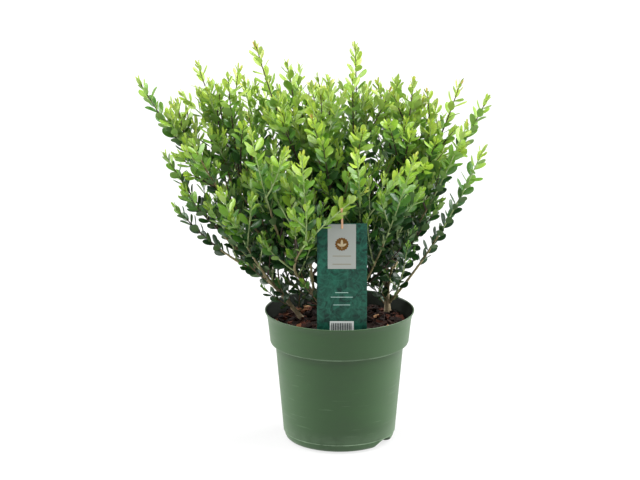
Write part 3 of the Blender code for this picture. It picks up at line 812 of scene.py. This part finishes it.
def in_crown(x, y, z, beyond):
    """True where a place is in the crown that ordinary shoots fill, or this far beyond it."""
    levels, lefts, rights = zip(*CROWN_SIDES)
    top = np.interp(x, *zip(*CROWN_TOP)) - CROWN_TOP_FALLS * y * y
    left, right = np.interp(z, levels, lefts), np.interp(z, levels, rights)
    return z < top + beyond and left - beyond < x < right + beyond


reach_low = np.array(cad_bounds[0]) - PAST_SOLIDS
reach_high = np.array(cad_bounds[1]) + PAST_SOLIDS


def in_reach(place):
    """True where a place is inside the box of the solids, or a little past it."""
    return (place >= reach_low).all() and (place <= reach_high).all()


def rising_run(start, along, out, tilt, length, draw):
    """A side shoot: it leaves along its parent, leans out, and turns up to the light."""
    heading = unit(along * math.cos(tilt) + out * math.sin(tilt))
    bend = start + heading * length * SHOOT_BEND_AT
    rising = unit(heading + UP * SHOOT_RISE + along * SHOOT_FOLLOWS)
    tip = bend + rising * length * (1 - SHOOT_BEND_AT)
    aside, over = side_frame(heading)
    phase = draw.uniform(0, 2 * math.pi)
    run = []
    for k in range(SHOOT_PIECES + 1):
        share = k / SHOOT_PIECES
        place = curve(start, bend, tip, share)
        waver = SHOOT_WAVER * math.sin(phase + WAVER_BENDS * share) * share * length / WAVER_FULL
        run.append(place + aside * waver + over * waver * 0.5)
    return run


def fitting_run(run, beyond):
    """The run, cut short where it would leave its reach or go this far beyond the crown, or
    None if little is left."""
    at = along_run(run)
    shares = np.linspace(0.1, 1, 19)
    good = [clear(at(s)) and in_reach(at(s)) and in_crown(*at(s), beyond) for s in shares]
    reach = 1.0 if all(good) else shares[max(good.index(False) - 1, 0)]
    if reach < SHORTEST_LEFT:
        return None
    return [at(reach * k / SHOOT_PIECES) for k in range(SHOOT_PIECES + 1)]


shoots = []


def grow(run, kind, radii, leafy_from, seed, leading=False, older=0.0):
    """Adds a shoot: its line, the piece that it is part of and its two end radii, the share
    from which it has leaves, and how those are drawn, spaced and aged."""
    shoot = {"run": run, "kind": kind, "radii": radii, "leafy_from": leafy_from, "seed": seed}
    shoot["length"] = np.linalg.norm(np.diff(np.array(run), axis=0), axis=1).sum()
    shoots.append({**shoot, "leading": leading, "older": older})


for index, name in enumerate(BOUGHS):
    line = limb_line(name)
    whole = np.linalg.norm(line(1) - line(0))
    in_front = name in FRONT_BOUGHS
    leader = part_of(line, WOODY_TO, 1 + TIP_GROWS / whole)
    kind = "green_shoots" if in_front else "purple_shoots"
    radii = (limb_radius(WOODY_TO), LIMB_TIP_R)
    grow(leader, kind, radii, 0.0, LEADER_SEED + index, True, OLDER.get(name, 0.0))
    grow(part_of(line, LEADER_FROM, WOODY_TO), None, None, 0.1, WOOD_SEED + index, True)
    last = BARE_FROM.get(name, FRONT_BARE_FROM if in_front else SIDE_SHOOTS_TO)
    spacing = SIDE_SHOOT_SPACING * (FRONT_SPACING if in_front else 1)
    if name in THIN_BOUGHS:
        spacing = SIDE_SHOOT_SPACING * THIN_SPACING
    count = round(whole * last / spacing)
    for k in range(count):
        draw = random.Random(SEED + 1000 * index + k)
        share = SIDE_SHOOTS_FROM + (last - SIDE_SHOOTS_FROM) * (k + draw.uniform(0, 0.6)) / count
        along = direction(line, share)
        angle = GOLDEN_ANGLE * k + index + draw.uniform(-0.4, 0.4)
        out = turned_up(along, angle, SHOOTS_BELOW)
        tilt = SHOOT_TILT * draw.uniform(0.75, 1.25)
        length = SIDE_SHOOT_LONGEST * (1 - SIDE_SHOOT_SHORTENS * share) * draw.uniform(0.75, 1.15)
        is_long = k % 2 == 0
        length *= 1.0 if is_long else SHORT_SHOOT
        beyond = draw.gauss(0, PAST_CROWN)
        run = fitting_run(rising_run(line(share), along, out, tilt, length, draw), beyond)
        if run is None:
            continue
        kind = draw.choice(("green_shoots", "green_shoots", "purple_shoots"))
        if share < BROWN_BELOW and not in_front:
            kind = "brown_shoots"
        grow(run, kind, (SIDE_SHOOT_R, SIDE_TIP_R), 0.12, 100 * index + k)
        side = along_run(run)
        twigs = round(length * TWIGS_FILL / TWIG_SPACING) if is_long else 0
        for n in range(twigs):
            place = TWIGS_FROM + TWIGS_OVER * (n + draw.uniform(0, 0.8)) / twigs
            along = direction(side, place, 0.03)
            out = turned_up(along, GOLDEN_ANGLE * n + k, SHOOTS_BELOW)
            size = TWIG_LENGTH * draw.uniform(0.6, 1.2)
            tilt = SHOOT_TILT * draw.uniform(0.9, 1.4)
            twig = fitting_run(rising_run(side(place), along, out, tilt, size, draw), beyond)
            if twig is not None:
                seed = TWIG_SEED + 100 * index + 7 * k + n
                grow(twig, "green_shoots", (TWIG_R, SIDE_TIP_R), 0.15, seed)

for index, (name, share, tip) in enumerate(TALL_SIDE_SHOOTS):
    line = limb_line(name)
    start, end = line(share), np.array(tip)
    bend = (start + end) / 2 + direction(line, share) * TALL_SHOOT_BEND
    run = [curve(start, bend, end, k / SHOOT_PIECES) for k in range(SHOOT_PIECES + 1)]
    grow(run, "purple_shoots", (SIDE_SHOOT_R, SIDE_TIP_R), 0.15, TALL_SEED + index)

for index, name in enumerate(STEMS):
    line = stem_line(name)
    count = round(np.linalg.norm(line(1) - line(0)) / LOW_TWIG_SPACING[name])
    for k in range(count):
        draw = random.Random(SEED + LOW_SHAPE_SEED + 1000 * index + k)
        share = 0.04 + 0.94 * (k + draw.uniform(0, 0.6)) / count
        along = direction(line, share)
        out = turned_up(along, GOLDEN_ANGLE * k + 2 * index, LOW_TWIGS_BELOW)
        size = LOW_TWIG_LENGTH * draw.uniform(0.6, 1.2)
        tilt = SHOOT_TILT * draw.uniform(1.0, 1.6)
        run = fitting_run(rising_run(line(share), along, out, tilt, size, draw), 0)
        if run is not None:
            seed = LOW_SEED + 100 * index + k
            grow(run, "brown_shoots", (TWIG_R, SIDE_TIP_R), 0.12, seed)


def swept(run, radii, sides):
    """The points and faces of a closed limb through the run, carried along without twist."""
    points, faces = [], []
    aside, _ = side_frame(unit(run[1] - run[0]))
    last = len(run) - 1
    for k, middle in enumerate(run):
        along = unit(run[min(k + 1, last)] - run[max(k - 1, 0)])
        aside = unit(aside - along * (aside @ along))
        over = np.cross(aside, along)
        for c in range(sides):
            angle = 2 * math.pi * c / sides
            points.append(middle + radii[k] * (aside * math.cos(angle) + over * math.sin(angle)))
    for k in range(last):
        for c in range(sides):
            d = (c + 1) % sides
            faces.append([sides * k + c, sides * k + d, sides * (k + 1) + d, sides * (k + 1) + c])
    faces.append(list(range(sides))[::-1])
    faces.append([sides * last + c for c in range(sides)])
    return points, faces


for kind, (colour, second_colour, roughness) in SHOOT_FINISHES.items():
    points, faces = [], []
    for shoot in shoots:
        if shoot["kind"] != kind:
            continue
        run = shoot["run"]
        thick, thin = shoot["radii"]
        radii = [thick + (thin - thick) * k / (len(run) - 1) for k in range(len(run))]
        more_points, more_faces = swept(run, radii, SHOOT_SIDES)
        faces += [[len(points) + corner for corner in face] for face in more_faces]
        points += more_points
    made = array_piece(kind, points, faces)
    face_outwards(made)
    # A young shoot's skin: smooth and faintly waxy, green in its first year, then darker.
    shoot_finish, tree, shader = plain_finish(kind + "_skin", colour, roughness)
    flecks = noise(tree, object_place(tree), 260.0, 3.0)
    amount = ranged(tree, flecks, 0.40, 0.62)
    skin = mixed(tree, amount, linear(colour), linear(second_colour))
    tree.links.new(skin, shader.inputs["Base Color"])
    emboss(tree, shader, (flecks, 0.4, 0.0002))
    settle(made, kind, shoot_finish, [], smooth=60)


# Leaves. Small leathery evergreen leaves, egg-shaped with a rounded tip, glossy above and
# paler and dull below. They stand off their shoot in a spiral, folded a little along the
# midrib, and crowd together, small, narrow and lime, at each growing tip.
LEAF_LENGTH = 0.0190
LEAF_WIDTH = 0.0092
LEAF_SPACING = 0.0056
LEADER_LEAF_SPACING = 0.0044
TIP_SPACING = 0.0020
GROWN_AT = 0.024
LOW_LEAF_SIZE = 0.82
LEAF_SKIN = 0.00022
FACES_UP = 0.55
FACES_OUT = 0.75
CROWN_MIDDLE = np.array((-0.02, 0.02, 0.27))
CROWN_REACH = np.array((0.22, 0.15, 0.24))
LEAF_TILT = 0.24
LEAF_TILT_GAINS = 0.46
LEAF_ROLL = 0.22
TIP_LEAF_SIZE = 0.50
TIP_LEAF_WIDTH = 0.62
LOW_LEAVES = (0.20, 0.33)
# What sets a leaf's colour, from dark at 0 to lime at 1: its youth, with painted shade
# deep inside the crown and painted light at the crown's front and back.
YOUNG_ANYWHERE = 0.09
YOUNG_AT_TIP = 0.46
YOUNG_HIGH_UP = 0.62
PAINTED_SHADE_INSIDE = -0.38
PAINTED_LIGHT_BEFORE_AND_BEHIND = 0.10
YOUNG_UPPER_RIGHT = 0.10
YOUNG_LOW_FRONT = 0.15
SHOOTS_VARY = 0.055
LEAVES_VARY = 0.05
# A leaf's outline: a share of its length, with half its width there as a share of its whole.
LEAF_ROWS = (
    (0.00, 0.06), (0.10, 0.09), (0.22, 0.27), (0.38, 0.42), (0.56, 0.50),
    (0.74, 0.49), (0.88, 0.39), (0.965, 0.22), (1.00, 0.07),
)
# Each finish from young and lit leaves to old and shaded ones, with its colour and the score of
# youth and painted light at which it starts.
UPPER_FINISHES = (
    ("leaf_bronze", "#B29C48", 1.20),
    ("leaf_bud", "#B6C050", 1.00),
    ("leaf_lime", "#AEC84A", 0.76),
    ("leaf_fresh", "#9ABE44", 0.57),
    ("leaf_spring", "#7AA83A", 0.44),
    ("leaf_green", "#578A32", 0.32),
    ("leaf_deep", "#38672C", 0.20),
    ("leaf_dark", "#244A23", -9.0),
)
UNDER_FINISHES = (
    ("underside_young", "#B6CE72", 0.68),
    ("underside_green", "#98BA64", 0.36),
    ("underside_deep", "#64844C", -9.0),
)
THROUGH_LEAF = 0.38
LEAF_GLOSS = 0.75


def rises(value, start, end):
    """From 0 at start to 1 at end."""
    return np.interp(value, (start, end), (0, 1))


def falls(value, start, end):
    """From 1 at start to 0 at end."""
    return np.interp(value, (start, end), (1, 0))


leaves = []
for shoot in shoots:
    draw = random.Random(SEED + shoot["seed"])
    at = along_run(shoot["run"])
    length = shoot["length"]
    tone = draw.gauss(0, SHOOTS_VARY)
    has_tip = shoot["kind"] is not None
    from_tip = 0.0 if has_tip else GROWN_AT
    k = 0
    while from_tip < length * (1 - shoot["leafy_from"]):
        share = 1 - from_tip / length if has_tip else 1 - (from_tip - GROWN_AT) / length
        if share <= shoot["leafy_from"]:
            break
        grown = min(1.0, from_tip / GROWN_AT)
        along = unit(at(min(share + 0.03, 1)) - at(max(min(share, 0.97) - 0.03, 0)))
        side = turned_up(along, GOLDEN_ANGLE * k + shoot["seed"], LEAVES_BELOW)
        tilt = (LEAF_TILT + LEAF_TILT_GAINS * grown) * draw.uniform(0.8, 1.2)
        heading = unit(along * math.cos(tilt) + side * math.sin(tilt))
        facing = along * math.sin(tilt) - side * math.cos(tilt) + UP * FACES_UP
        facing = facing + unit((at(share) - CROWN_MIDDLE) / CROWN_REACH**2) * FACES_OUT
        facing = unit(facing - heading * (facing @ heading))
        across = np.cross(heading, facing)
        roll = draw.gauss(0, LEAF_ROLL)
        facing = facing * math.cos(roll) + across * math.sin(roll)
        across = np.cross(heading, facing)
        root = at(share)
        size = (TIP_LEAF_SIZE + (1 - TIP_LEAF_SIZE) * grown) * draw.uniform(0.86, 1.12)
        size *= np.interp(root[2], LOW_LEAVES, (LOW_LEAF_SIZE, 1.0))
        middle = root + heading * LEAF_LENGTH * size * 0.5
        end = root + heading * LEAF_LENGTH * size
        x, y, z = middle
        # Painted shade: leaves deep inside the crown get darker colours. Painted light: leaves at
        # its front and back get paler ones.
        inside = max(0, 1 - np.linalg.norm((middle - CROWN_MIDDLE) / CROWN_REACH))
        broad = min(1, abs(y - CROWN_MIDDLE[1]) / 0.12) * np.interp(x, (0.0, 0.08), (1, 0.2))
        youth_and_light = YOUNG_AT_TIP * math.exp(-from_tip / GROWN_AT) + YOUNG_HIGH_UP * (z - 0.20) / 0.30
        youth_and_light += PAINTED_SHADE_INSIDE * inside + PAINTED_LIGHT_BEFORE_AND_BEHIND * broad
        youth_and_light += tone + draw.gauss(0, LEAVES_VARY) + YOUNG_ANYWHERE - shoot["older"]
        youth_and_light += YOUNG_UPPER_RIGHT * rises(x, 0.0, 0.10) * rises(z, 0.32, 0.38)
        low_front = falls(y, -0.07, -0.02) * falls(z, 0.26, 0.33)
        youth_and_light += YOUNG_LOW_FRONT * low_front * falls(x, -0.03, 0.02)
        if clear((middle, end)) and in_reach(end):
            width = LEAF_WIDTH * size * (TIP_LEAF_WIDTH + (1 - TIP_LEAF_WIDTH) * grown)
            width *= draw.uniform(0.9, 1.12)
            fold = draw.choice((-1, -1, 1)) * draw.uniform(0.12, 0.46)
            curl = draw.uniform(-0.05, 0.18)
            blade = LEAF_LENGTH * size
            leaves.append((youth_and_light, root, heading, facing, across, blade, width, fold, curl))
        apart = LEADER_LEAF_SPACING if shoot["leading"] else LEAF_SPACING
        from_tip += (TIP_SPACING + (apart - TIP_SPACING) * grown) * draw.uniform(0.8, 1.2)
        k += 1


def leaf_sheets(chosen, under):
    """The points and faces of these leaves' upper skins, or of their undersides."""
    columns = (np.array(column) for column in zip(*chosen))
    _, roots, headings, facings, acrosses, lengths, widths, folds, curls = columns
    points = []
    for share, half_width in LEAF_ROWS:
        for side in (-1, 0, 1):
            shift = headings * (lengths * share)[:, None]
            shift = shift + acrosses * (widths * half_width * side)[:, None]
            lift = widths * half_width * folds * abs(side) - lengths * curls * share**2
            if under and side == 0 and 0 < share < 1:
                lift = lift - LEAF_SKIN
            points.append(roots + shift + facings * lift[:, None])
    points = np.stack(points, axis=1)
    corners = [3 * row + column for row in range(len(LEAF_ROWS) - 1) for column in (0, 1)]
    faces = np.array([(a, a + 1, a + 4, a + 3) for a in corners])
    if under:
        faces = faces[:, ::-1]
    offsets = np.arange(len(chosen)) * points.shape[1]
    faces = faces[None] + offsets[:, None, None]
    return points.reshape(-1, 3), faces.reshape(-1, 4).tolist()


def leaf_finish(name, colour, roughness):
    """A living leaf: waxy skin over flesh that lets some light through."""
    made, tree, shader = plain_finish(name, colour, roughness, LEAF_GLOSS)
    emboss(tree, shader, (noise(tree, object_place(tree), 420.0), 0.35, 0.0003))
    glow = add_node(tree, "BsdfTranslucent", {"Color": linear(colour)}).outputs[0]
    both = add_node(tree, "MixShader", {0: THROUGH_LEAF, 1: shader.outputs[0], 2: glow})
    tree.links.new(both.outputs[0], tree.nodes["Material Output"].inputs["Surface"])
    return made


mass_nodes = ["mass_" + name for name in BOUGHS]
for finishes, under, roughness in ((UPPER_FINISHES, False, 0.30), (UNDER_FINISHES, True, 0.55)):
    left = leaves
    for name, colour, starts_at in finishes:
        chosen = [leaf for leaf in left if leaf[0] > starts_at]
        left = [leaf for leaf in left if leaf[0] <= starts_at]
        if not chosen:
            continue
        piece = array_piece(name, *leaf_sheets(chosen, under))
        # Holly leaves: waxed above, so they shine in small flecks; matt and pale below.
        finish = leaf_finish(name + "_skin", colour, roughness)
        nodes = mass_nodes if name == "leaf_green" else []
        settle(piece, name, finish, nodes, smooth=80)


# Label. A coated card stood in the soil, printed dark teal with a mottled leafy pattern, a
# grey panel with a sprig on a scalloped brown disc, plain rules, and a pale patch of even
# stripes.
LABEL_THICKNESS = 0.0008
HOLE_R = 0.0030
HOLE_DROP = 0.0075
INK = 0.00005
SECOND_INK = 0.00012
THIRD_INK = 0.00019
# The left, right, lower and upper edge of each.
PANEL = (-0.0152, 0.0196, 0.2445, 0.3015)
PATCH = (-0.0126, 0.0172, 0.1540, 0.1772)
EMBLEM_Z = 0.2760
EMBLEM_R = 0.0082
SCALLOPS = 16
SCALLOP_DEPTH = 0.05
STRIPES = 12
STRIPE_WIDTH = 0.0013
PATCH_EDGE = 0.002
RULE_WIDTH = 0.0008
# Half the length and the lower edge of each pale rule.
PALE_RULES = ((0.0080, 0.2136), (0.0135, 0.2078), (0.0105, 0.1978))

height = LABEL_TOP - SOIL_TOP
start_piece()
bpy.ops.mesh.primitive_cube_add(size=1, location=(LABEL_X, LABEL_Y, LABEL_TOP - height / 2))
label = bpy.context.object
label.scale = (LABEL_WIDTH, LABEL_THICKNESS, height)
bpy.ops.object.transform_apply(location=True, rotation=True, scale=True)
bpy.ops.mesh.primitive_cylinder_add(
    vertices=40,
    radius=HOLE_R,
    depth=0.02,
    location=(LABEL_X, LABEL_Y, LABEL_TOP - HOLE_DROP),
    rotation=(math.radians(90), 0, 0),
)
subtract(label, bpy.context.object)
soften = label.modifiers.new("soften", "BEVEL")
soften.width = 0.00015
soften.segments = 2
bpy.ops.object.modifier_apply(modifier="soften")

# Coated card: a light sheen over dark teal ink, mottled like leaves in shade.
card_finish, tree, shader = plain_finish("coated_card", "#0F4A48", 0.45, 0.25)
place = object_place(tree)
cloudy = noise(tree, place, 75.0, 6.0, 0.65, 1.5)
ink = ramped(tree, cloudy, (0.36, "#02201A"), (0.68, "#175241"))
swirl = add_node(tree, "TexNoise", {"Vector": place, "Scale": 45.0, "Detail": 3.0})
shift = {0: swirl.outputs["Color"], 1: (0.03, 0.03, 0.03), 2: place}
bent = add_node(tree, "VectorMath", shift, operation="MULTIPLY_ADD").outputs["Vector"]
leafy = add_node(tree, "TexVoronoi", {"Vector": bent, "Scale": 80.0}, feature="DISTANCE_TO_EDGE")
veins = ranged(tree, leafy.outputs["Distance"], 0.0, 0.10, 0.42, 0.0)
tree.links.new(mixed(tree, veins, ink, linear("#235A49")), shader.inputs["Base Color"])
settle(label, "label_card", card_finish, ["label"], smooth=40)


def printed(name, outlines, colour, thick=INK):
    """Ink on the card's face, as a thin raised shape for each outline of x and z points."""
    points, faces = [], []
    face_y = LABEL_Y - LABEL_THICKNESS / 2
    for outline in outlines:
        first = len(points)
        count = len(outline)
        for depth in (face_y - thick, face_y + INK):
            points += [(x, depth, z) for x, z in outline]
        faces.append([first + k for k in range(count)])
        faces.append([first + count + k for k in range(count)][::-1])
        for k in range(count):
            n = (k + 1) % count
            faces.append([first + n, first + k, first + count + k, first + count + n])
    made = array_piece(name, points, faces)
    face_outwards(made)
    # Printing ink, dried flat: dull beside the coated card.
    ink_finish, _, _ = plain_finish(name + "_ink", colour, 0.45, 0.2)
    return settle(made, name, ink_finish, [])


def upright(x0, x1, z0, z1):
    return [(x0, z0), (x1, z0), (x1, z1), (x0, z1)]


def leaf_outline(x, z, angle, length, width):
    """An egg-shaped leaf from its root, turned by this angle from upright."""
    outline = []
    for k in range(24):
        turn = 2 * math.pi * k / 24
        up = length * (0.5 - 0.5 * math.cos(turn))
        out = width / 2 * math.sin(turn) * (1 + 0.25 * math.cos(turn))
        right = out * math.cos(angle) + up * math.sin(angle)
        outline.append((x + right, z - out * math.sin(angle) + up * math.cos(angle)))
    return outline


printed("label_panel", [upright(*PANEL)], "#8E928D")
middle_x = (PANEL[0] + PANEL[1]) / 2
disc = []
for k in range(128):
    turn = 2 * math.pi * k / 128
    reach = EMBLEM_R * (1 + SCALLOP_DEPTH * math.cos(SCALLOPS * turn))
    disc.append((middle_x + reach * math.cos(turn), EMBLEM_Z + reach * math.sin(turn)))
printed("label_disc", [disc], "#5C3C0C", SECOND_INK)
sprig = [leaf_outline(middle_x, EMBLEM_Z - 0.0020, 0.0, 0.0078, 0.0030)]
for side in (-1, 1):
    sprig.append(leaf_outline(middle_x + side * 0.0004, EMBLEM_Z - 0.0026, side, 0.0062, 0.0026))
sprig.append(upright(middle_x - 0.0003, middle_x + 0.0003, EMBLEM_Z - 0.0060, EMBLEM_Z - 0.0016))
printed("label_sprig", sprig, "#A89A7C", THIRD_INK)
rules = [
    upright(PANEL[0] + 0.0060, PANEL[1] - 0.0060, 0.2604, 0.2614),
    upright(PANEL[0] + 0.0060, PANEL[1] - 0.0060, 0.2500, 0.2510),
]
printed("label_rules", rules, "#7A7462", SECOND_INK)
pale_rules = [upright(middle_x - x, middle_x + x, z, z + RULE_WIDTH) for x, z in PALE_RULES]
printed("label_pale_rules", pale_rules, "#8FAAA2")
printed("label_patch", [upright(*PATCH)], "#B4B9B6")
stripes = []
for k in range(STRIPES):
    left = PATCH[0] + PATCH_EDGE + (PATCH[1] - PATCH[0] - 2 * PATCH_EDGE) * k / STRIPES
    stripes.append(upright(left, left + STRIPE_WIDTH, PATCH[2], PATCH[3] - 0.0025))
printed("label_stripes", stripes, "#1C2422", SECOND_INK)


# Loop. A flat band of peach elastic through the card's hole and round the nearest shoot.
LOOP_WIDTH = 0.0026
LOOP_THICKNESS = 0.0007
# The band's section, as shares of half its width and half its thickness.
LOOP_CORNERS = (
    (-1, -0.4), (-0.85, -1), (0.85, -1), (1, -0.4),
    (1, 0.4), (0.85, 1), (-0.85, 1), (-1, 0.4),
)
LOOP_STEPS = 12
LOOP_AT = 0.905
LOOP_BEARING = 0.75
LOOP_SLACK = 1.8
# The radius of the shoot where the loop holds it.
HELD_R = 0.0017 - 0.0011 * LOOP_AT
GAP = 0.0003


def half_turn(middle, radius, start):
    """The points of half a turn about the x axis."""
    angles = [start + math.pi * k / LOOP_STEPS for k in range(LOOP_STEPS + 1)]
    return [middle + radius * np.array((0, math.cos(a), math.sin(a))) for a in angles]


def loop_path():
    """The loop's middle line, through the hole, up past the card's edge and round the shoot."""
    line = limb_line("low_front")
    marks = [line(0.20 + 0.80 * k / 7) for k in range(8)]
    held = along_run(marks)(LOOP_AT)
    reach = GAP + LOOP_THICKNESS / 2
    low_r = LABEL_THICKNESS / 2 + reach
    high_r = LOOP_SLACK * HELD_R + reach + GAP
    low_z = LABEL_TOP - HOLE_DROP + HOLE_R * LOOP_BEARING
    low = np.array((LABEL_X, LABEL_Y, low_z))
    neck = np.array((LABEL_X, LABEL_Y, LABEL_TOP + 2 * GAP))
    lean = unit(held[1:] - neck[1:])
    start = math.atan2(lean[1], lean[0]) - math.pi / 2
    path = half_turn(low, low_r, math.pi)
    path.append(neck + low_r * np.array((0, 1, 0)))
    path += half_turn(held, high_r, start)
    path.append(neck - low_r * np.array((0, 1, 0)))
    return path


path = loop_path()
count = len(path)
points, faces = [], []
for k, middle in enumerate(path):
    along = path[(k + 1) % count] - path[k - 1]
    out = unit(np.array((0, along[2], -along[1])))
    for side, depth in LOOP_CORNERS:
        shift = out * depth * LOOP_THICKNESS / 2 + np.array((side * LOOP_WIDTH / 2, 0, 0))
        points.append(middle + shift)
    for c in range(8):
        d, n = (c + 1) % 8, (k + 1) % count
        faces.append([8 * k + c, 8 * k + d, 8 * n + d, 8 * n + c])
loop = array_piece("label_loop_band", points, faces)
face_outwards(loop)
# Natural rubber elastic: matt peach.
band_finish, _, _ = plain_finish("peach_elastic", "#C79A78", 0.7)
settle(loop, "label_loop_band", band_finish, ["label_loop"], smooth=50)
